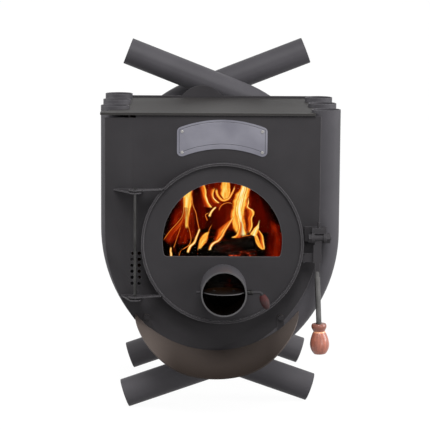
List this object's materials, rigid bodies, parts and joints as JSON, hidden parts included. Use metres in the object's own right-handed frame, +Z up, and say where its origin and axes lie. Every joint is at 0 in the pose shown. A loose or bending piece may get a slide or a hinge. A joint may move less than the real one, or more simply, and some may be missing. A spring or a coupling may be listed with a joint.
{
  "type": "workshop stove",
  "caption": "Warm-air wood stove with a round-bellied steel firebox wrapped in bent tubes, a round glazed door, ash lip, lever latch and rear flue outlet.",
  "frame": {"origin": "on the floor, in the middle of the overall width and depth", "axes": "+Z up, the door faces -Y, +X is to the right of someone facing the door"},
  "size_m": [0.498, 0.6804, 0.7527],
  "materials": {
    "stove_steel": "matt heat-proof paint, dark grey",
    "inner_steel": "raw hot-rolled steel, sooted",
    "bare_steel": "dull bare steel",
    "badge_metal": "satin sheet, plain",
    "window_glass": "clear heat-proof glass",
    "rope_seal": "woven glass-fibre rope",
    "turned_wood": "turned and varnished, red-brown"
  },
  "bodies": {
    "stove": {"air_tube_1": "stove_steel", "air_tube_2": "stove_steel", "air_tube_3": "stove_steel", "air_tube_4": "stove_steel", "air_tube_5": "stove_steel", "air_tube_6": "stove_steel", "air_tube_7": "stove_steel", "air_tube_8": "stove_steel", "firebox_shell": "stove_steel", "front_plate": "stove_steel", "rear_plate": "stove_steel", "top_plate": "stove_steel", "door_neck": "stove_steel", "ash_lip": "stove_steel", "upper_hinge_bracket": "stove_steel", "lower_hinge_bracket": "stove_steel", "latch_bracket": "stove_steel", "flue_collar": "stove_steel", "baffle_plate": "inner_steel", "baffle_supports": "inner_steel", "hinge_pin": "bare_steel", "latch_pivot_bolt": "bare_steel", "latch_nut": "bare_steel", "ash_lip_screws": "bare_steel", "name_plate_rivets": "bare_steel", "name_plate": "badge_metal"},
    "door": {"door_pan": "stove_steel", "door_gasket": "rope_seal", "door_glass": "window_glass", "glass_gasket": "rope_seal", "glass_clips": "inner_steel", "glass_screws": "bare_steel", "upper_door_leaf": "stove_steel", "lower_door_leaf": "stove_steel", "door_tongue": "stove_steel", "air_inlet_pipe": "stove_steel"},
    "latch_lever": {"latch_lever": "bare_steel", "latch_handle": "turned_wood"},
    "air_flap": {"flap_disc": "inner_steel", "flap_spindle": "bare_steel", "flap_screws": "bare_steel", "flap_spring": "bare_steel", "flap_knob": "turned_wood"},
    "flue_damper": {"damper_disc": "inner_steel", "damper_spindle": "bare_steel", "damper_screws": "bare_steel", "damper_knob": "turned_wood"}
  },
  "joints": [
    {"name": "door_hinge", "type": "hinge", "parent": "stove", "child": "door", "pos_m": [-0.1736, -0.25405, 0.356], "axis": [0, 0, -1], "range_deg": [0, 110]},
    {"name": "latch_pivot", "type": "hinge", "parent": "stove", "child": "latch_lever", "pos_m": [0.2035, -0.24175, 0.3693], "axis": [-1, 0, 0], "range_deg": [0, 105]},
    {"name": "flap_turn", "type": "hinge", "parent": "door", "child": "air_flap", "pos_m": [0.0079, -0.29825, 0.2657], "axis": [-1, 0, 0], "range_deg": [0, 85]},
    {"name": "damper_turn", "type": "hinge", "parent": "stove", "child": "flue_damper", "pos_m": [0, 0.22725, 0.53503], "axis": [1, 0, 0], "range_deg": [0, 90]}
  ]
}
